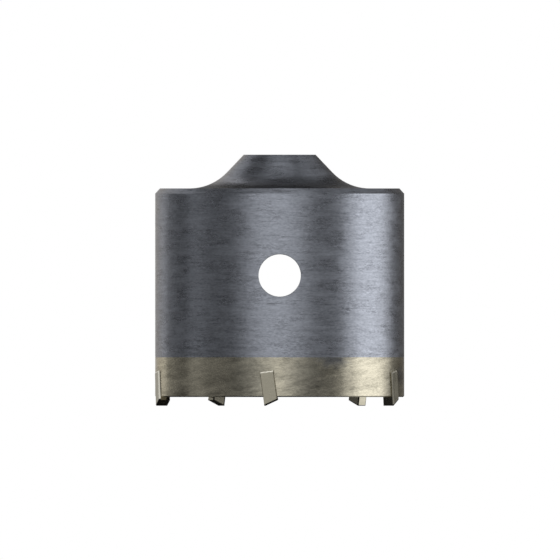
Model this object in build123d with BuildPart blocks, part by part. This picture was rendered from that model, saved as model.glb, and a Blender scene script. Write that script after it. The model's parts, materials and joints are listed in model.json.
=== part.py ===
"""Core drill bit: a turned steel crown with a threaded boss and five brazed carbide tips.

The crown stands on its cutting edges. Z is the drilling axis and points up, towards the boss.
The origin is on that axis, in the plane of the cutting edges. The cross hole runs along Y.
Seen from the boss, the crown cuts clockwise, so each tip leads with the flank on that side.
All sizes are in millimetres and all angles in degrees.
"""

import os
from math import cos, radians, sin, tan

from build123d import *

# Cutting size
cutting_diameter = 68.0
core_depth = 50.0

# Wall and plate of the crown, with the clearance that the tips cut outside and inside the wall
outer_clearance = 0.4
inner_clearance = 0.6
wall_thickness = 2.1
plate_thickness = 8.65
shoulder_chamfer_height = 1.4
shoulder_chamfer_width = 1.3
inner_corner_radius = 3.0
rim_break = 0.3

# Boss: a cone that runs into the shoulder, with a flat seat for the shank's collar
boss_height = 9.1
boss_slope = 46.5
boss_root_radius = 14.0
seat_width = 1.6

# Bore for the shank's thread, drilled to the tapping size of M16 and countersunk at both ends
thread_bore = 14.0
thread_lead_in = 1.1

# Cross hole through both walls, for the bar that turns the crown off its shank
cross_hole_diameter = 11.4
cross_hole_drop = 14.85
cross_hole_break = 0.12

# Carbide tips
tip_count = 5
first_tip_angle = -4.4
tip_thickness = 3.75
tip_length = 9.1
tip_projection = 2.35
tip_lean = 7.5
tip_relief = 17.5
cutting_land = 0.2

# Breaks of a tip's edges. Those of its outer face are measured on that face, then into the tip
top_bevel_height = 0.32
top_bevel_depth = 0.2
leading_bevel_width = 0.12
leading_bevel_depth = 0.3
trailing_bevel_width = 0.2
trailing_bevel_depth = 0.5
foot_edge_break = 0.2
inner_edge_break = 0.15

# Braze left between each tip and the three faces of its slot
braze_gap = 0.1

# Radii and heights that follow from those sizes
tip_outer_radius = cutting_diameter / 2
body_radius = tip_outer_radius - outer_clearance
bore_radius = body_radius - wall_thickness
tip_inner_radius = bore_radius - inner_clearance
tip_width = tip_outer_radius - tip_inner_radius
rim_z = tip_projection
plate_z = core_depth
shoulder_z = plate_z + plate_thickness
boss_top_z = shoulder_z + boss_height
cross_hole_z = plate_z - cross_hole_drop
thread_radius = thread_bore / 2
lead_in_radius = thread_radius + thread_lead_in
boss_top_radius = lead_in_radius + seat_width
boss_root_corner = boss_top_radius + boss_height / tan(radians(boss_slope))
tip_angles = [first_tip_angle + number * 360 / tip_count for number in range(tip_count)]

# Sketch plane of a tip that points along -Y. Its origin is the inner end of the cutting edge,
# X runs across the tip, away from the cut, and Y runs up the leaning flank.
lean = radians(tip_lean)
cutting_edge_x = rim_z * tan(lean) - tip_thickness / 2 / cos(lean)
tip_plane = Plane(
    origin=(cutting_edge_x, -tip_inner_radius, 0),
    x_dir=(cos(lean), 0, sin(lean)),
    z_dir=(0, -1, 0),
)
flank_direction = Axis((0, 0, 0), (-sin(lean), 0, cos(lean)))

# Turned blank: wall, plate and boss as one revolved section, then the bore for the thread
with BuildPart() as blank:
    with BuildSketch(Plane.XZ) as section:
        with BuildLine():
            Polyline(
                (bore_radius, rim_z),
                (body_radius, rim_z),
                (body_radius, shoulder_z),
                (boss_root_corner, shoulder_z),
                (boss_top_radius, boss_top_z),
                (0, boss_top_z),
                (0, plate_z),
                (bore_radius, plate_z),
                close=True,
            )
        make_face()
        rim_corners = section.vertices().group_by(Axis.Y)[0]
        plate_corners = section.vertices().group_by(Axis.Y)[1].sort_by(Axis.X)
        shoulder_corners = section.vertices().group_by(Axis.Y)[2].sort_by(Axis.X)
        chamfer(rim_corners, rim_break)
        fillet(plate_corners[-1], inner_corner_radius)
        fillet(shoulder_corners[0], boss_root_radius)
        wall_line = section.edges().filter_by(Axis.Y).sort_by(Axis.X)[-1]
        chamfer(
            shoulder_corners[-1],
            shoulder_chamfer_height,
            shoulder_chamfer_width,
            reference=wall_line,
        )
    revolve(axis=Axis.Z)
    with Locations((0, 0, boss_top_z)):
        Hole(thread_radius)
    bore_mouths = blank.edges(Select.NEW).filter_by(GeomType.CIRCLE)
    chamfer(bore_mouths, thread_lead_in)

# One carbide tip: square-ended at the top, ground back from the cutting edge underneath
with BuildPart() as tip:
    with BuildSketch(tip_plane) as tip_outline:
        with BuildLine():
            land = Line((0, 0), (cutting_land * cos(lean), -cutting_land * sin(lean)))
            heel_rise = (tip_thickness - (land @ 1).X) * tan(radians(tip_relief))
            heel = Line(land @ 1, (tip_thickness, (land @ 1).Y + heel_rise))
            Polyline(heel @ 1, (tip_thickness, tip_length), (0, tip_length), land @ 0)
        make_face()
    extrude(amount=tip_width)
    inner_face = tip.faces().sort_by(Axis.Y)[-1]
    chamfer(inner_face.edges().filter_by(flank_direction), inner_edge_break)
    outer_face = tip.faces().sort_by(Axis.Y)[0]
    leading_edge = outer_face.edges().filter_by(flank_direction).sort_by(Axis.X)[0]
    chamfer(leading_edge, leading_bevel_width, leading_bevel_depth, reference=outer_face)
    outer_face = tip.faces().sort_by(Axis.Y)[0]
    trailing_edge = outer_face.edges().filter_by(flank_direction).sort_by(Axis.X)[-1]
    chamfer(trailing_edge, trailing_bevel_width, trailing_bevel_depth, reference=outer_face)
    outer_face = tip.faces().sort_by(Axis.Y)[0]
    top_edge = outer_face.edges().sort_by(Axis.Z)[-1]
    chamfer(top_edge, top_bevel_height, top_bevel_depth, reference=outer_face)
    outer_face = tip.faces().sort_by(Axis.Y)[0]
    foot_edges = outer_face.edges().sort_by(Axis.Z)[0:2]
    chamfer(foot_edges, foot_edge_break)

# Form of the slot for that tip, wider and higher than the tip by the braze, and open below
with BuildPart() as slot:
    with BuildSketch(tip_plane) as slot_outline:
        with Locations((tip_thickness / 2, tip_length + braze_gap)):
            Rectangle(
                tip_thickness + 2 * braze_gap,
                2 * tip_length,
                align=(Align.CENTER, Align.MAX),
            )
    extrude(amount=tip_width)

# Braze that fills what the tip leaves of its slot, flush with the wall inside and outside
with BuildPart() as braze:
    add(blank.part)
    add(slot.part, mode=Mode.INTERSECT)
    add(tip.part, mode=Mode.SUBTRACT)

# Crown: the blank with its cross hole and its slots
with BuildPart() as crown_body:
    add(blank.part)
    with BuildSketch(Plane.XZ) as cross_hole:
        with Locations((0, cross_hole_z)):
            Circle(cross_hole_diameter / 2)
    extrude(amount=body_radius, both=True, mode=Mode.SUBTRACT)
    hole_edges = crown_body.edges().filter_by(GeomType.BSPLINE)
    hole_mouths = hole_edges.filter_by(lambda edge: abs(edge.center().Y) > bore_radius)
    chamfer(hole_mouths, cross_hole_break)
    for angle in tip_angles:
        add(slot.part, rotation=(0, 0, angle), mode=Mode.SUBTRACT)

# Finished pieces, each in a file of its own
os.makedirs("parts", exist_ok=True)
crown_body.part.label = "crown_body"
export_step(crown_body.part, "parts/crown_body.step")

for number, angle in enumerate(tip_angles, start=1):
    with BuildPart() as carbide_tip:
        add(tip.part, rotation=(0, 0, angle))
    carbide_tip.part.label = f"carbide_tip_{number}"
    export_step(carbide_tip.part, f"parts/carbide_tip_{number}.step")
    with BuildPart() as braze_seam:
        add(braze.part, rotation=(0, 0, angle))
    braze_seam.part.label = f"braze_seam_{number}"
    export_step(braze_seam.part, f"parts/braze_seam_{number}.step")
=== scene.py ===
"""Looks of the core drill bit: its crown with a real thread, its finishes, and a studio.

The frame's crown body is replaced by a mesh with the same turned section, which adds the thread.
The tips and the seams of braze stay as they are in the frame, and get materials.
"""

import json
import math

import bmesh
import bpy
from mathutils import Matrix, Vector

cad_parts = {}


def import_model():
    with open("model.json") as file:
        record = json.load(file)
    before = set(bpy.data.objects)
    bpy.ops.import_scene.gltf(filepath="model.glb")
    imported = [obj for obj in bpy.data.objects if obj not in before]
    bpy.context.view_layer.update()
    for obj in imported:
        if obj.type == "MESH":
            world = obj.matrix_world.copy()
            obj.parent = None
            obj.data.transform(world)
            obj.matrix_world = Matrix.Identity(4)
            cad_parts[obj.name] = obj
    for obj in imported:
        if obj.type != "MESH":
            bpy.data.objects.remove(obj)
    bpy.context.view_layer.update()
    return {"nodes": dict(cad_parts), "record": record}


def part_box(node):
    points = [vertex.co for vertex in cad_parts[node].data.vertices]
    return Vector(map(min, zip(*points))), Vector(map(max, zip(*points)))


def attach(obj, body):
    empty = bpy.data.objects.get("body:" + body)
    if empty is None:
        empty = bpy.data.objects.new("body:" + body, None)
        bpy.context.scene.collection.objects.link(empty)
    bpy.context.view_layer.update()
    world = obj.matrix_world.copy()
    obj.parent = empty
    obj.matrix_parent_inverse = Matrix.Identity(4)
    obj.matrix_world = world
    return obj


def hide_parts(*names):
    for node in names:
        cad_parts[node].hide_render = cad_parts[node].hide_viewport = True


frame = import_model()

MM = 0.001
mounts = {mount["name"]: mount for mount in frame["record"]["mounts"]}
crown_low, crown_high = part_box("crown_body")

# Crown, in metres: the frame gives its outside and its mounts, and the rest is as in the solids
BODY_RADIUS = crown_high.x
RIM_Z = crown_low.z
BOSS_TOP_Z = crown_high.z
BORE_RADIUS = BODY_RADIUS - 2.1 * MM
PLATE_Z = 50.0 * MM
SHOULDER_Z = 58.65 * MM
SHOULDER_CHAMFER_HEIGHT = 1.4 * MM
SHOULDER_CHAMFER_WIDTH = 1.3 * MM
INNER_CORNER_RADIUS = 3.0 * MM
RIM_BREAK = 0.3 * MM
BOSS_SLOPE = math.radians(46.5)
BOSS_ROOT_RADIUS = 14.0 * MM
SEAT_WIDTH = 1.6 * MM
THREAD_LEAD_IN = 1.1 * MM
MOUTH_RADIUS = mounts["shank_thread"]["dims"]["r_mm"] * MM + THREAD_LEAD_IN
BOSS_TOP_RADIUS = MOUTH_RADIUS + SEAT_WIDTH
BOSS_ROOT_CORNER = BOSS_TOP_RADIUS + (BOSS_TOP_Z - SHOULDER_Z) / math.tan(BOSS_SLOPE)

# Thread M16 x 2 in the boss, with the ISO profile
THREAD_PITCH = 2.0 * MM
THREAD_MAJOR_RADIUS = 8.0 * MM
THREAD_MINOR_RADIUS = 6.918 * MM
THREAD_ROOT_FLAT = THREAD_PITCH / 8
THREAD_FLANK_SLOPE = math.tan(math.radians(60))

# Cross hole
HOLE_RADIUS = mounts["bar_hole"]["dims"]["r_mm"] * MM
HOLE_Z = mounts["bar_hole"]["pos_m"][2]
HOLE_BREAK = 0.12 * MM

# Tips and their slots. A tip that points to the front leads with its left flank
TIP_COUNT = 5
FIRST_TIP_ANGLE = -4.4
TIP_THICKNESS = 3.75 * MM
TIP_LENGTH = 9.1 * MM
TIP_LEAN = math.radians(7.5)
TIP_RELIEF = math.radians(17.5)
TIP_INNER_RADIUS = BORE_RADIUS - 0.6 * MM
CUTTING_LAND = 0.2 * MM
CUTTING_EDGE_X = RIM_Z * math.tan(TIP_LEAN) - TIP_THICKNESS / 2 / math.cos(TIP_LEAN)
BRAZE_GAP = 0.1 * MM

# Fineness of the crown's mesh
COLUMNS = 288
ROW_STEP = 1.5 * MM
INNER_CORNER_STEPS = 8
BOSS_ROOT_STEPS = 12
THREAD_STEPS = 16
HOLE_SEGMENTS = 128
CUTTER_REACH = 1.0 * MM
MERGE = 0.002 * MM
SHARP_ANGLE = math.radians(24)


def mesh_object(name, bm):
    """Links a new object with this bmesh and frees the bmesh."""
    mesh = bpy.data.meshes.new(name)
    bm.to_mesh(mesh)
    bm.free()
    piece = bpy.data.objects.new(name, mesh)
    bpy.context.scene.collection.objects.link(piece)
    return piece


def arc(centre, radius, start, end, steps):
    """Points of an arc in the section, angles in degrees from the outward direction."""
    angles = [math.radians(start + (end - start) * step / steps) for step in range(steps + 1)]
    return [(centre[0] + radius * math.cos(a), centre[1] + radius * math.sin(a)) for a in angles]


def run(start, end, step=ROW_STEP):
    """Points along a straight stretch of the section, both ends included."""
    count = max(1, round(math.dist(start, end) / step))
    shares = [i / count for i in range(count + 1)]
    return [tuple(a + (b - a) * share for a, b in zip(start, end)) for share in shares]


def crown_section():
    """The turned section from the lower mouth of the thread round the wall to the upper mouth."""
    corner = (BORE_RADIUS - INNER_CORNER_RADIUS, PLATE_Z - INNER_CORNER_RADIUS)
    tangent = BOSS_ROOT_RADIUS * math.tan(BOSS_SLOPE / 2)
    root = (BOSS_ROOT_CORNER + tangent, SHOULDER_Z + BOSS_ROOT_RADIUS)
    root_end = 270 - math.degrees(BOSS_SLOPE)
    wall_top = (BODY_RADIUS, SHOULDER_Z - SHOULDER_CHAMFER_HEIGHT)
    chamfer_top = (BODY_RADIUS - SHOULDER_CHAMFER_WIDTH, SHOULDER_Z)
    seat_edge = (BOSS_TOP_RADIUS, BOSS_TOP_Z)
    points = run((MOUTH_RADIUS, PLATE_Z), (corner[0], PLATE_Z))
    points += arc(corner, INNER_CORNER_RADIUS, 90, 0, INNER_CORNER_STEPS)[1:]
    points += run((BORE_RADIUS, corner[1]), (BORE_RADIUS, RIM_Z + RIM_BREAK))[1:]
    points += [(BORE_RADIUS + RIM_BREAK, RIM_Z), (BODY_RADIUS - RIM_BREAK, RIM_Z)]
    points += run((BODY_RADIUS, RIM_Z + RIM_BREAK), wall_top)
    points += run(chamfer_top, (root[0], SHOULDER_Z))
    points += arc(root, BOSS_ROOT_RADIUS, 270, root_end, BOSS_ROOT_STEPS)[1:]
    points += run(points[-1], seat_edge)[1:]
    points += run(seat_edge, (MOUTH_RADIUS, BOSS_TOP_Z), SEAT_WIDTH / 2)[1:]
    return points


def on_circle(radius, column, height):
    """The point of a circle round the Z axis at one of the mesh's columns."""
    angle = 2 * math.pi * column / COLUMNS
    return (radius * math.cos(angle), radius * math.sin(angle), height)


def join_rings(bm, rings):
    """Faces between closed rings of vertices, each joined to the next."""
    for near, far in zip(rings, rings[1:]):
        for place in range(len(near)):
            after = (place + 1) % len(near)
            bm.faces.new((near[place], near[after], far[after], far[place]))


def lathe(bm, section):
    """Turns a section, a list of radii and heights, round the Z axis."""
    rings = []
    for radius, height in section:
        rings.append([bm.verts.new(on_circle(radius, column, height)) for column in range(COLUMNS)])
    join_rings(bm, rings)


def thread_radius(share):
    """Radius of the internal thread at a share of the pitch, with the groove's middle at 0.5."""
    offset = abs(share - 0.5) * THREAD_PITCH - THREAD_ROOT_FLAT / 2
    flank = THREAD_MAJOR_RADIUS - max(0.0, offset) * THREAD_FLANK_SLOPE
    return max(THREAD_MINOR_RADIUS, flank)


def thread(bm):
    """A right-handed thread whose rows of faces follow the helix, cut by the two countersinks."""
    turns = math.ceil((BOSS_TOP_Z - PLATE_Z) / THREAD_PITCH) + 1
    rows = []
    for row in range(turns * THREAD_STEPS + 1):
        start_z = PLATE_Z - THREAD_PITCH + row * THREAD_PITCH / THREAD_STEPS
        profile = thread_radius((row % THREAD_STEPS) / THREAD_STEPS)
        line = []
        for column in range(COLUMNS + 1):
            height = start_z + THREAD_PITCH * column / COLUMNS
            height = min(max(height, PLATE_Z), BOSS_TOP_Z)
            depth = min(height - PLATE_Z, BOSS_TOP_Z - height)
            radius = max(profile, MOUTH_RADIUS - depth)
            line.append(bm.verts.new(on_circle(radius, column, height)))
        rows.append(line)
    for low, high in zip(rows, rows[1:]):
        for column in range(COLUMNS):
            bm.faces.new((low[column], low[column + 1], high[column + 1], high[column]))


def hole_cutter(bm):
    """The cross hole with its edge break, which follows the curve of the wall at both ends."""
    break_radius = HOLE_RADIUS + HOLE_BREAK
    mouth = ((break_radius + CUTTER_REACH, CUTTER_REACH), (HOLE_RADIUS, -HOLE_BREAK))
    # Rings from beyond the front to beyond the back, so the mouth's order turns round halfway
    rings = []
    for side in (-1, 1):
        for radius, beyond in mouth[::-side]:
            ring = []
            for segment in range(HOLE_SEGMENTS):
                angle = 2 * math.pi * segment / HOLE_SEGMENTS
                across = math.cos(angle)
                edge = math.sqrt(BODY_RADIUS**2 - (break_radius * across) ** 2)
                height = HOLE_Z + radius * math.sin(angle)
                ring.append(bm.verts.new((radius * across, side * (edge + beyond), height)))
            rings.append(ring)
    join_rings(bm, rings)
    bm.faces.new(rings[0])
    bm.faces.new(rings[-1])


def slot_cutters(bm):
    """One leaning block for each slot, open below the rim."""
    width = TIP_THICKNESS + 2 * BRAZE_GAP
    height = 2 * TIP_LENGTH
    depth = BODY_RADIUS - TIP_INNER_RADIUS + CUTTER_REACH
    size = Matrix.Diagonal((width, depth, height, 1))
    middle = (TIP_THICKNESS / 2, -depth / 2, TIP_LENGTH + BRAZE_GAP - height / 2)
    place = Matrix.Translation((CUTTING_EDGE_X, -TIP_INNER_RADIUS, 0))
    lean = Matrix.Rotation(-TIP_LEAN, 4, "Y")
    for number in range(TIP_COUNT):
        turn = Matrix.Rotation(math.radians(FIRST_TIP_ANGLE + number * 360 / TIP_COUNT), 4, "Z")
        matrix = turn @ place @ lean @ Matrix.Translation(middle) @ size
        bmesh.ops.create_cube(bm, size=1, matrix=matrix)


def make_crown():
    """The turned crown with its thread, then its cross hole and slots cut out."""
    bm = bmesh.new()
    lathe(bm, crown_section())
    thread(bm)
    bmesh.ops.remove_doubles(bm, verts=bm.verts, dist=MERGE)
    bmesh.ops.dissolve_degenerate(bm, edges=bm.edges, dist=MERGE)
    bmesh.ops.recalc_face_normals(bm, faces=bm.faces)
    crown = mesh_object("crown_with_thread", bm)
    bm = bmesh.new()
    hole_cutter(bm)
    slot_cutters(bm)
    bmesh.ops.recalc_face_normals(bm, faces=bm.faces)
    cutter = mesh_object("crown_cutter", bm)
    cut = crown.modifiers.new("cut", "BOOLEAN")
    cut.operation = "DIFFERENCE"
    cut.solver = "EXACT"
    cut.object = cutter
    bpy.context.view_layer.objects.active = crown
    bpy.ops.object.modifier_apply(modifier=cut.name)
    bpy.data.objects.remove(cutter)
    crown.data.shade_smooth()
    crown.data.set_sharp_from_angle(angle=SHARP_ANGLE)
    return crown


# Colours are linear values of what a metal reflects. Sizes of a noise's cells, along X, Y and Z,
# and depths of marks are in millimetres. Tones, contrasts and dullnesses are factors, each from
# the low to the high end of a noise, which seldom leaves the first of these ranges
NOISE_RANGE = (0.3, 0.7)
NOISE_MIDDLE = (0.35, 0.65)

# Steel
STEEL = (0.288, 0.305, 0.346)
STEEL_EDGE_TINT = (0.53, 0.5, 0.46)
STEEL_ROUGHNESS = 0.29
FINE_MARKS = dict(cells=(0.9, 0.9, 0.32), detail=3.0, blend=0.65)
LONG_MARKS = dict(cells=(6.0, 6.0, 0.6), detail=3.0, blend=0.62, offset=8.6)
SLANTED_MARKS = dict(cells=(9.0, 9.0, 1.3), detail=3.0, blend=0.55, offset=5.7, shear=-0.2)
STEEL_CLOUD = dict(cells=(8.0, 8.0, 3.0), detail=3.0, warp=0.6, offset=3.1)
DENTS = dict(cells=(3.2, 3.2, 1.4), detail=1.0, warp=0.3, offset=9.4)
FINE_SHARE = 0.58
SLANTED_SHARE = 0.5
MARK_CONTRAST = 0.38
CLOUD_CONTRAST = (1.5, 0.75)
CLOUD_TONE = (0.86, 1.14)
CLOUD_DULLNESS = (0.86, 1.17)
MARK_DEPTH = 0.012
DENT_DEPTH = 0.02

# Bright band at the rim
BAND_TOP_Z = RIM_Z + 10.8 * MM
BAND_WANDER = 0.15 * MM
BAND_EDGE = dict(cells=(2.0, 2.0, 2.0), detail=1.0)
BAND_STEEL = (0.47, 0.439, 0.349)
BAND_ROUGHNESS = 0.24

# Stains of the band: degrees from the front to the right, then height, width and rise in
# millimetres. A stain's edge fades from none to full between two distances from its middle,
# as shares of its width and rise
BAND_HEATED = (0.27, 0.256, 0.21)
HEAT_STAINS = (
    (-14.5, 7.5, 7.2, 14.0),
    (14.0, 7.5, 7.4, 14.0),
    (71.0, 5.5, 7.4, 9.0),
    (128.0, 6.0, 8.0, 7.0),
    (-151.0, 5.0, 9.0, 8.0),
)
OXIDE = (0.23, 0.232, 0.232)
OXIDE_STAINS = (
    (25.5, 12.4, 4.6, 2.4),
    (76.0, 8.2, 3.4, 2.4),
    (-118.0, 11.0, 6.0, 2.5),
)
STAIN_EDGE = dict(cells=(2.0, 2.0, 0.8), detail=4.0)
STAIN_RAGGEDNESS = 1.2
STAIN_FADE = (1.8, 0.9)

# Carbide. Painted shade, for a contact shadow at the foot and dark lines at the inner edges, fades
# out at the first distance and is full at the second, both measured from a tip's foot, from the
# ground, or from the edge between a flank and the inner face
CARBIDE = (0.328, 0.308, 0.245)
# Colours of the bevels: a painted highlight along a tip's outer edges, dimmer on the leading side
CARBIDE_BEVEL_HIGHLIGHT = (0.68, 0.655, 0.57)
CARBIDE_LEADING_BEVEL_HIGHLIGHT = (0.4, 0.38, 0.315)
CARBIDE_EDGE_TINT = (0.7, 0.69, 0.67)
CARBIDE_ROUGHNESS = 0.27
CARBIDE_GRAIN = dict(cells=(0.12, 0.12, 0.12), detail=3.0, blend=0.7)
CARBIDE_STROKES = dict(cells=(2.4, 2.4, 0.16), detail=2.0, offset=2.2)
CARBIDE_CLOUD = dict(cells=(2.5, 2.5, 2.5), detail=2.0, warp=0.5, offset=4.4)
GRAIN_SHARE = 0.45
CARBIDE_MARK_TONE = (0.88, 1.12)
CARBIDE_CLOUD_TONE = (0.94, 1.06)
CARBIDE_CLOUD_DULLNESS = (0.9, 1.15)
CARBIDE_MARK_DEPTH = 0.006
# Near-black colour of the painted shade on the tips
CARBIDE_PAINTED_SHADE = (0.012, 0.011, 0.01)
FOOT_PAINTED_SHADE = (0.44 * MM, 0.29 * MM)
INNER_FOOT_PAINTED_SHADE = (0.26 * MM, 0.14 * MM)
GROUND_PAINTED_SHADE = (0.26 * MM, 0.12 * MM)
CORNER_PAINTED_SHADE = (0.42 * MM, 0.34 * MM)
# The flanks' colour is lifted by a painted highlight; their lower roughness is their real polish
FLANK_PAINTED_HIGHLIGHT = 1.7
FLANK_ROUGHNESS = 0.15
# Relief faces, which look down, are darkened by painted shade
RELIEF_PAINTED_SHADE = 0.5

# Soft limits that tell the faces of a tip apart by how squarely they look outwards, along the
# circle of the cut, or upwards. A bevel lies between two of them
OUTER_SIDE = (0.2, 0.3)
OUTER_BEVEL = (OUTER_SIDE, (0.95, 0.9))
INNER_SIDE = (-0.2, -0.3)
INNER_BEVEL = ((-0.5, -0.6), (-0.85, -0.8))
INNER_FACE = (-0.85, -0.9)
LEADING = (-0.5, -0.6)
FLANK = (0.95, 0.98)
RELIEF_FACE = (-0.75, -0.85)

# Braze
BRAZE = (0.5, 0.46, 0.36)
BRAZE_DARK = (0.3, 0.277, 0.217)
BRAZE_ROUGHNESS = (0.38, 0.55)
BRAZE_PATCHES = dict(cells=(0.8, 0.8, 0.8), detail=3.0, blend=0.6)
BRAZE_LUMPS = dict(cells=(0.2, 0.2, 0.2), detail=2.0, offset=1.9)
BRAZE_LUMP_DEPTH = 0.02

# Floor
FLOOR_DARK = (0.78, 0.78, 0.78)
FLOOR_LIGHT = (0.82, 0.82, 0.82)
FLOOR_FIBRES = dict(cells=(3.0, 3.0, 3.0), detail=2.0)
FLOOR_ROUGHNESS = 0.9
FLOOR_RADIUS = 3.0
FLOOR_SEGMENTS = 96


class Recipe:
    """Node tree of one material. Each method that works something out returns its output."""

    def __init__(self, name, metallic=1.0):
        self.material = bpy.data.materials.new(name)
        self.material.use_nodes = True
        self.tree = self.material.node_tree
        self.shader = self.tree.nodes["Principled BSDF"]
        self.shader.inputs["Metallic"].default_value = metallic
        self.place = self.node("ShaderNodeTexCoord").outputs["Object"]

    def node(self, kind, **settings):
        """A node with these settings."""
        made = self.tree.nodes.new(kind)
        for key, value in settings.items():
            setattr(made, key, value)
        return made

    def feed(self, value, socket):
        """Sets a socket to a number, vector or colour, or links it to an output."""
        if isinstance(value, bpy.types.NodeSocket):
            self.tree.links.new(value, socket)
        elif isinstance(value, tuple) and len(value) == 3 and len(socket.default_value) == 4:
            socket.default_value = (*value, 1)
        else:
            socket.default_value = value

    def math(self, operation, first, second=0.0, third=0.0):
        """Arithmetic on up to three numbers."""
        made = self.node("ShaderNodeMath", operation=operation)
        for value, socket in zip((first, second, third), made.inputs):
            self.feed(value, socket)
        return made.outputs[0]

    def times(self, first, second):
        """The product of two numbers."""
        return self.math("MULTIPLY", first, second)

    def weigh(self, first, share, second):
        """A share of the first number, with the second number for the rest."""
        return self.math("MULTIPLY_ADD", first, share, self.times(second, 1 - share))

    def vector(self, operation, first, second=(0.0, 0.0, 0.0)):
        """Arithmetic on one or two vectors, which gives a number for a length or a dot product."""
        made = self.node("ShaderNodeVectorMath", operation=operation)
        self.feed(first, made.inputs[0])
        self.feed(second, made.inputs[1])
        return made.outputs["Value" if operation in ("LENGTH", "DOT_PRODUCT") else "Vector"]

    def split(self, vector):
        """The three coordinates of a vector."""
        made = self.node("ShaderNodeSeparateXYZ")
        self.feed(vector, made.inputs[0])
        return tuple(made.outputs)

    def join(self, x, y, z):
        """The vector with these coordinates."""
        made = self.node("ShaderNodeCombineXYZ")
        for value, socket in zip((x, y, z), made.inputs):
            self.feed(value, socket)
        return made.outputs[0]

    def spread(self, value, low, high, to_low=0.0, to_high=1.0):
        """Maps a range of a value to another, without going beyond it."""
        made = self.node("ShaderNodeMapRange", clamp=True)
        for number, socket in zip((value, low, high, to_low, to_high), made.inputs):
            self.feed(number, socket)
        return made.outputs[0]

    def within(self, value, start, end):
        """How far a value is inside two soft limits, each given from outside to inside."""
        return self.times(self.spread(value, *start), self.spread(value, *end))

    def mix(self, share, first, second, kind="RGBA"):
        """Mixes two colours, or two numbers where the kind is FLOAT."""
        made = self.node("ShaderNodeMix", data_type=kind)
        self.feed(share, made.inputs["Factor"])
        self.feed(first, made.inputs["A"])
        self.feed(second, made.inputs["B"])
        return made.outputs["Result"]

    def scale(self, color, level):
        """A colour made lighter or darker."""
        made = self.node("ShaderNodeVectorMath", operation="SCALE")
        self.feed(color, made.inputs[0])
        self.feed(level, made.inputs["Scale"])
        return made.outputs[0]

    def noise(self, cells, detail=2.0, blend=0.5, warp=0.0, offset=0.0, shear=0.0):
        """Noise from 0 to 1, whose cells have these sizes in millimetres along X, Y and Z.

        A shear slants the cells: it is how far they rise along Z for each step along X.
        """
        place = self.place
        if shear:
            x, y, z = self.split(place)
            place = self.join(x, y, self.math("MULTIPLY_ADD", x, shear, z))
        scaled = self.vector("MULTIPLY", place, tuple(1 / (size * MM) for size in cells))
        made = self.node("ShaderNodeTexNoise", noise_dimensions="3D")
        self.feed(self.vector("ADD", scaled, (offset, offset, offset)), made.inputs["Vector"])
        made.inputs["Scale"].default_value = 1.0
        made.inputs["Detail"].default_value = detail
        made.inputs["Roughness"].default_value = blend
        made.inputs["Distortion"].default_value = warp
        return made.outputs["Fac"]

    def follow_lathe(self):
        """Makes the third coordinate run along the section, so that marks ring flat faces too."""
        x, y, z = self.split(self.place)
        radius = self.vector("LENGTH", self.join(x, y, 0.0))
        self.place = self.join(x, y, self.math("SUBTRACT", z, radius))

    def stains(self, spots):
        """How much of a ragged stain covers the wall: 1 inside one, 0 outside all of them."""
        ragged = self.noise(**STAIN_EDGE)
        cover = 0.0
        for azimuth, height, width, rise in spots:
            turn = math.radians(azimuth)
            middle = (BODY_RADIUS * math.sin(turn), -BODY_RADIUS * math.cos(turn), height * MM)
            moved = self.vector("SUBTRACT", self.place, middle)
            sizes = tuple(1 / (size * MM) for size in (width, width, rise))
            away = self.vector("LENGTH", self.vector("MULTIPLY", moved, sizes))
            edge = self.math("MULTIPLY_ADD", ragged, STAIN_RAGGEDNESS, away)
            cover = self.math("MAXIMUM", cover, self.spread(edge, *STAIN_FADE))
        return cover

    def normal(self):
        """The direction in which the flat surface faces."""
        return self.node("ShaderNodeNewGeometry").outputs["True Normal"]

    def outward(self):
        """The level direction away from the Z axis."""
        return self.vector("NORMALIZE", self.vector("MULTIPLY", self.place, (1, 1, 0)))

    def outwardness(self):
        """How squarely the surface faces away from the Z axis: 1 outwards, -1 inwards."""
        return self.vector("DOT_PRODUCT", self.outward(), self.normal())

    def sideness(self):
        """How squarely the surface faces along the cut: 1 where a tip trails, -1 where it leads."""
        return self.split(self.vector("CROSS_PRODUCT", self.outward(), self.normal()))[2]

    def tip_place(self):
        """Where a point is in its own tip: its distances from the leading flank and the foot."""
        x, y, z = self.split(self.place)
        azimuth = self.math("ARCTAN2", x, self.times(y, -1.0))
        half_step = math.pi / TIP_COUNT
        from_first = self.math("SUBTRACT", azimuth, math.radians(FIRST_TIP_ANGLE))
        from_own = self.math("WRAP", from_first, half_step, -half_step)
        radius = self.math("SQRT", self.math("MULTIPLY_ADD", x, x, self.times(y, y)))
        across = self.times(radius, self.math("SINE", from_own))
        aside = self.math("SUBTRACT", across, CUTTING_EDGE_X)
        rise = self.times(z, math.sin(TIP_LEAN))
        behind = self.math("MULTIPLY_ADD", aside, math.cos(TIP_LEAN), rise)
        slope = TIP_LEAN + TIP_RELIEF
        heel = self.times(self.math("SUBTRACT", aside, CUTTING_LAND), math.tan(slope))
        above_heel = self.times(self.math("SUBTRACT", z, heel), math.cos(slope))
        return behind, self.math("MINIMUM", above_heel, z)

    def bump(self, value, depth):
        """Relief that is this deep, in millimetres, where the value goes from 0 to 1."""
        made = self.node("ShaderNodeBump")
        self.feed(value, made.inputs["Height"])
        made.inputs["Distance"].default_value = depth * MM
        self.feed(made.outputs["Normal"], self.shader.inputs["Normal"])

    def finish(self, color, roughness, edge_tint=(1.0, 1.0, 1.0)):
        """Gives the shader its colour, its roughness and its tint at a grazing angle."""
        self.feed(color, self.shader.inputs["Base Color"])
        self.feed(roughness, self.shader.inputs["Roughness"])
        self.feed(edge_tint, self.shader.inputs["Specular Tint"])
        return self.material


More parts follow.
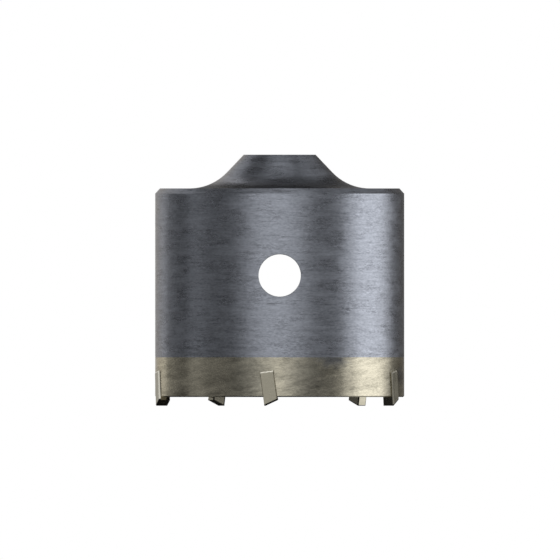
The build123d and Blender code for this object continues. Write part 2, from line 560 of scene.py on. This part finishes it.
def steel():
    """Turned and blued steel, with a band at the rim that is ground bright and stained.

    Noise cells that are long along X and Y and short along Z make the marks of the lathe. The
    band's grinding marks slant. A coarse cloud varies the tone, the contrast and the roughness.
    """
    recipe = Recipe("blued_steel")
    height = recipe.split(recipe.place)[2]
    heat = recipe.stains(HEAT_STAINS)
    oxide = recipe.stains(OXIDE_STAINS)
    recipe.follow_lathe()
    fine = recipe.noise(**FINE_MARKS)
    cloud = recipe.noise(**STEEL_CLOUD)
    wander = recipe.noise(**BAND_EDGE)
    edge = recipe.math("MULTIPLY_ADD", wander, BAND_WANDER, height)
    is_band = recipe.math("LESS_THAN", edge, BAND_TOP_Z)

    turned = recipe.weigh(fine, FINE_SHARE, recipe.noise(**LONG_MARKS))
    ground = recipe.weigh(recipe.noise(**SLANTED_MARKS), SLANTED_SHARE, fine)
    marks = recipe.mix(is_band, turned, ground, "FLOAT")
    shade = recipe.spread(marks, *NOISE_RANGE, -MARK_CONTRAST, MARK_CONTRAST)
    contrast = recipe.spread(cloud, *NOISE_MIDDLE, *CLOUD_CONTRAST)
    level = recipe.math("MULTIPLY_ADD", shade, contrast, 1.0)
    level = recipe.times(level, recipe.spread(cloud, *NOISE_RANGE, *CLOUD_TONE))

    band = recipe.mix(heat, BAND_STEEL, BAND_HEATED)
    color = recipe.mix(is_band, STEEL, recipe.mix(oxide, band, OXIDE))
    dullness = recipe.mix(is_band, STEEL_ROUGHNESS, BAND_ROUGHNESS, "FLOAT")
    roughness = recipe.times(dullness, recipe.spread(cloud, *NOISE_RANGE, *CLOUD_DULLNESS))
    mark_relief = recipe.times(marks, MARK_DEPTH)
    relief = recipe.math("MULTIPLY_ADD", recipe.noise(**DENTS), DENT_DEPTH, mark_relief)
    recipe.bump(relief, 1.0)
    return recipe.finish(recipe.scale(color, level), roughness, STEEL_EDGE_TINT)


def tip_painted_shade(recipe, outward):
    """How much painted shade covers a tip: a contact shadow along its foot and near the ground, and
    dark lines on its inner edges.
    """
    behind, above = recipe.tip_place()
    height = recipe.split(recipe.place)[2]
    half = TIP_THICKNESS / 2
    from_middle = recipe.math("ABSOLUTE", recipe.math("SUBTRACT", behind, half))
    corner = recipe.spread(from_middle, half - CORNER_PAINTED_SHADE[0], half - CORNER_PAINTED_SHADE[1])
    parts = (
        recipe.spread(height, *GROUND_PAINTED_SHADE),
        recipe.times(recipe.spread(above, *FOOT_PAINTED_SHADE), recipe.spread(outward, *OUTER_SIDE)),
        recipe.times(recipe.spread(above, *INNER_FOOT_PAINTED_SHADE), recipe.spread(outward, *INNER_SIDE)),
        recipe.within(outward, *INNER_BEVEL),
        recipe.times(corner, recipe.spread(outward, *INNER_FACE)),
    )
    cover = 0.0
    for part in parts:
        cover = recipe.math("MAXIMUM", cover, part)
    return cover


def carbide():
    """Ground carbide with polished flanks, a painted highlight on its bevels and flanks, painted
    shade on its relief faces, and painted shade at its foot and inner edges.

    The faces are told apart by where they look, and the painted shade also by its place in the tip.
    """
    recipe = Recipe("carbide")
    cloud = recipe.noise(**CARBIDE_CLOUD)
    outward = recipe.outwardness()
    sideness = recipe.sideness()
    upward = recipe.split(recipe.normal())[2]

    # Painted highlight on the outer bevels, dimmer where a tip leads
    bevel = recipe.within(outward, *OUTER_BEVEL)
    leading = recipe.spread(sideness, *LEADING)
    bevel_highlight = recipe.mix(leading, CARBIDE_BEVEL_HIGHLIGHT, CARBIDE_LEADING_BEVEL_HIGHLIGHT)
    # Painted shade: a contact shadow along the foot and near the ground, and dark lines on the inner
    # edges
    color = recipe.mix(tip_painted_shade(recipe, outward), recipe.mix(bevel, CARBIDE, bevel_highlight), CARBIDE_PAINTED_SHADE)

    marks = recipe.weigh(recipe.noise(**CARBIDE_GRAIN), GRAIN_SHARE, recipe.noise(**CARBIDE_STROKES))
    flank = recipe.spread(recipe.math("ABSOLUTE", sideness), *FLANK)
    level = recipe.spread(marks, *NOISE_RANGE, *CARBIDE_MARK_TONE)
    level = recipe.times(level, recipe.spread(cloud, *NOISE_RANGE, *CARBIDE_CLOUD_TONE))
    # Painted highlight on the flanks
    level = recipe.times(level, recipe.mix(flank, 1.0, FLANK_PAINTED_HIGHLIGHT, "FLOAT"))
    # Painted shade on the downward relief faces
    level = recipe.times(level, recipe.spread(upward, *RELIEF_FACE, 1.0, RELIEF_PAINTED_SHADE))
    dullness = recipe.mix(flank, CARBIDE_ROUGHNESS, FLANK_ROUGHNESS, "FLOAT")
    roughness = recipe.times(dullness, recipe.spread(cloud, *NOISE_RANGE, *CARBIDE_CLOUD_DULLNESS))
    recipe.bump(marks, CARBIDE_MARK_DEPTH)
    return recipe.finish(recipe.scale(color, level), roughness, CARBIDE_EDGE_TINT)


def braze():
    """Dull braze, darkened by heat in patches and slightly lumpy."""
    recipe = Recipe("braze")
    patches = recipe.noise(**BRAZE_PATCHES)
    color = recipe.mix(recipe.spread(patches, *NOISE_MIDDLE), BRAZE_DARK, BRAZE)
    recipe.bump(recipe.noise(**BRAZE_LUMPS), BRAZE_LUMP_DEPTH)
    return recipe.finish(color, recipe.spread(patches, *NOISE_RANGE, *BRAZE_ROUGHNESS))


def floor_card():
    """Matt pale card under the object."""
    recipe = Recipe("floor", metallic=0.0)
    fibres = recipe.noise(**FLOOR_FIBRES)
    return recipe.finish(recipe.mix(fibres, FLOOR_DARK, FLOOR_LIGHT), FLOOR_ROUGHNESS)


# Camera: square on from the front with no perspective, as in the photograph. The size of a pixel
# and the places of the axis and the rim are those of the photograph
FRAME_PIXELS = 560
PIXEL = 0.26984 * MM
AXIS_PIXEL_X = 279.69
RIM_PIXEL_Y = 397.04
CAMERA_DISTANCE = 0.5

# Light. Cards stand on a dome round the middle of the object and show in its reflections only:
# name, azimuths of the two ends from the front to the right, lowest and highest elevation, all in
# degrees, and the shades of the two ends
AMBIENT = 0.6
MIDDLE = Vector((0, 0, BOSS_TOP_Z / 2))
CARD_RADIUS = 0.7
CARD_COLUMNS = 24
CARD_ROWS = 6
CARDS = (
    ("card_left_back", -129, -93, -9, 24, 0.36, 0.08),
    ("card_left_strip", -93, -74, -9, 24, 0.33, 0.33),
    ("card_left", -74, -42, -9, 24, 0.19, 0.19),
    ("card_front_left", -42, -18, -9, 24, 0.18, 0.88),
    ("card_front", 9, 33, -9, 60, 0.95, 0.27),
    ("card_front_right", 33, 61, -9, 60, 0.27, 0.27),
    ("card_back_right", 122, 188, -9, 24, 0.27, 0.27),
    ("card_upper_left", -165, -26, 48, 72, 0.15, 0.14),
    ("card_upper_left_back", -165, -120, 18, 48, 1.25, 0.15),
    ("card_upper_back_low", 150, 195, 24, 52, 0.13, 0.13),
    ("card_upper_back", 138, 195, 52, 76, 0.12, 0.12),
    ("card_upper_right_low", 120, 150, 24, 38, 0.34, 0.34),
    ("card_upper_right_mid", 75, 150, 38, 52, 0.1, 0.4),
    ("card_upper_right", 75, 138, 52, 65, 0.16, 0.5),
    ("card_upper_right_high", 60, 138, 65, 76, 0.15, 0.15),
    ("card_ceiling_left", -165, -26, 72, 90, 0.33, 0.33),
    ("card_ceiling", -26, 195, 76, 90, 0.29, 0.29),
    ("card_below_front", -28, 28, -60, -9, 0.4, 0.4),
    ("card_below_right", 28, 120, -60, -9, 0.28, 0.28),
    ("card_below_back_right", 120, 158, -60, -9, 0.5, 0.5),
    ("card_below_back", 158, 238, -60, -9, 0.03, 0.03),
    ("card_below_left", 238, 298, -60, -9, 0.28, 0.28),
    ("card_below_left_low", 298, 332, -60, -26, 0.28, 0.28),
    ("card_below_left_dark", 298, 332, -26, -9, 0.02, 0.02),
    ("card_below", 0, 360, -90, -60, 0.02, 0.02),
)


def add_camera():
    """The camera, placed so that axis and rim fall where the photograph has them."""
    camera = bpy.data.objects.new("camera", bpy.data.cameras.new("camera"))
    camera.data.type = "ORTHO"
    camera.data.ortho_scale = FRAME_PIXELS * PIXEL
    middle_pixel = FRAME_PIXELS / 2
    aside = (middle_pixel - AXIS_PIXEL_X) * PIXEL
    height = RIM_Z + (RIM_PIXEL_Y - middle_pixel) * PIXEL
    camera.location = (aside, -CAMERA_DISTANCE, height)
    camera.rotation_euler = (math.radians(90), 0, 0)
    bpy.context.scene.collection.objects.link(camera)
    bpy.context.scene.camera = camera


def direction(azimuth, elevation):
    """The direction at these degrees, azimuths running from the front to the right."""
    turn, lift = math.radians(azimuth), math.radians(elevation)
    level = math.cos(lift)
    return Vector((math.sin(turn) * level, -math.cos(turn) * level, math.sin(lift)))


def glow_material(name):
    """A plain glow, as bright as the shade painted on the mesh."""
    material = bpy.data.materials.new(name)
    material.use_nodes = True
    tree = material.node_tree
    tree.nodes.clear()
    glow = tree.nodes.new("ShaderNodeEmission")
    painted = tree.nodes.new("ShaderNodeAttribute")
    painted.attribute_name = "shade"
    tree.links.new(painted.outputs["Color"], glow.inputs["Color"])
    tree.links.new(glow.outputs[0], tree.nodes.new("ShaderNodeOutputMaterial").inputs[0])
    return material


def card(name, start, end, low, high, start_shade, end_shade):
    """A grey card, seen in reflections only, whose shade runs evenly from end to end."""
    bm = bmesh.new()
    shades = bm.verts.layers.float_color.new("shade")
    columns = []
    for step in range(CARD_COLUMNS + 1):
        shade = start_shade + (end_shade - start_shade) * step / CARD_COLUMNS
        azimuth = start + (end - start) * step / CARD_COLUMNS
        column = []
        for level in range(CARD_ROWS + 1):
            elevation = low + (high - low) * level / CARD_ROWS
            corner = bm.verts.new(direction(azimuth, elevation) * CARD_RADIUS + MIDDLE)
            corner[shades] = (shade, shade, shade, 1)
            column.append(corner)
        columns.append(column)
    for left, right in zip(columns, columns[1:]):
        for level in range(CARD_ROWS):
            bm.faces.new((left[level], right[level], right[level + 1], left[level + 1]))
    bmesh.ops.remove_doubles(bm, verts=bm.verts, dist=MERGE)
    panel = mesh_object(name, bm)
    panel.data.materials.append(glow_material(name))
    panel.visible_camera = False
    panel.visible_diffuse = False
    panel.visible_transmission = False
    panel.visible_shadow = False


def world():
    """White where the camera, a reflection or a see-through part looks, and a soft fill else."""
    studio = bpy.data.worlds.new("studio")
    bpy.context.scene.world = studio
    studio.use_nodes = True
    tree = studio.node_tree
    paths = tree.nodes.new("ShaderNodeLightPath")
    seen = paths.outputs["Is Camera Ray"]
    for kind in ("Is Glossy Ray", "Is Transmission Ray"):
        either = tree.nodes.new("ShaderNodeMath")
        either.operation = "MAXIMUM"
        tree.links.new(seen, either.inputs[0])
        tree.links.new(paths.outputs[kind], either.inputs[1])
        seen = either.outputs[0]
    level = tree.nodes.new("ShaderNodeMapRange")
    tree.links.new(seen, level.inputs["Value"])
    level.inputs["To Min"].default_value = AMBIENT
    level.inputs["To Max"].default_value = 1.0
    background = tree.nodes["Background"]
    background.inputs["Color"].default_value = (1, 1, 1, 1)
    tree.links.new(level.outputs[0], background.inputs["Strength"])


def softbox(name, azimuth, elevation, distance, width, height, radiance):
    """A rectangular lamp in this direction, aimed at the middle of the object."""
    lamp = bpy.data.lights.new(name, "AREA")
    lamp.shape = "RECTANGLE"
    lamp.size = width
    lamp.size_y = height
    lamp.energy = radiance * math.pi * width * height
    box = bpy.data.objects.new(name, lamp)
    bpy.context.scene.collection.objects.link(box)
    way = direction(azimuth, elevation)
    box.location = MIDDLE + way * distance
    box.rotation_euler = way.to_track_quat("Z", "Y").to_euler()


def floor():
    """A plain pale floor that the object stands on."""
    bm = bmesh.new()
    bmesh.ops.create_circle(bm, cap_ends=True, radius=FLOOR_RADIUS, segments=FLOOR_SEGMENTS)
    ground = mesh_object("floor", bm)
    ground.visible_glossy = False
    ground.data.materials.append(floor_card())


crown = make_crown()
crown.data.materials.append(steel())
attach(crown, "root")
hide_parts("crown_body")

finishes = {"carbide_tip": carbide(), "braze_seam": braze()}
for name, node in frame["nodes"].items():
    for start, finish in finishes.items():
        if name.startswith(start):
            node.data.materials.clear()
            node.data.materials.append(finish)

add_camera()
world()
softbox("key", azimuth=92, elevation=5, distance=0.6, width=0.4, height=0.9, radiance=0.78)
softbox("overhead", azimuth=-4, elevation=62, distance=0.6, width=0.3, height=0.24, radiance=0.8)
for spec in CARDS:
    card(*spec)
floor()

bpy.context.scene.view_settings.view_transform = "Standard"
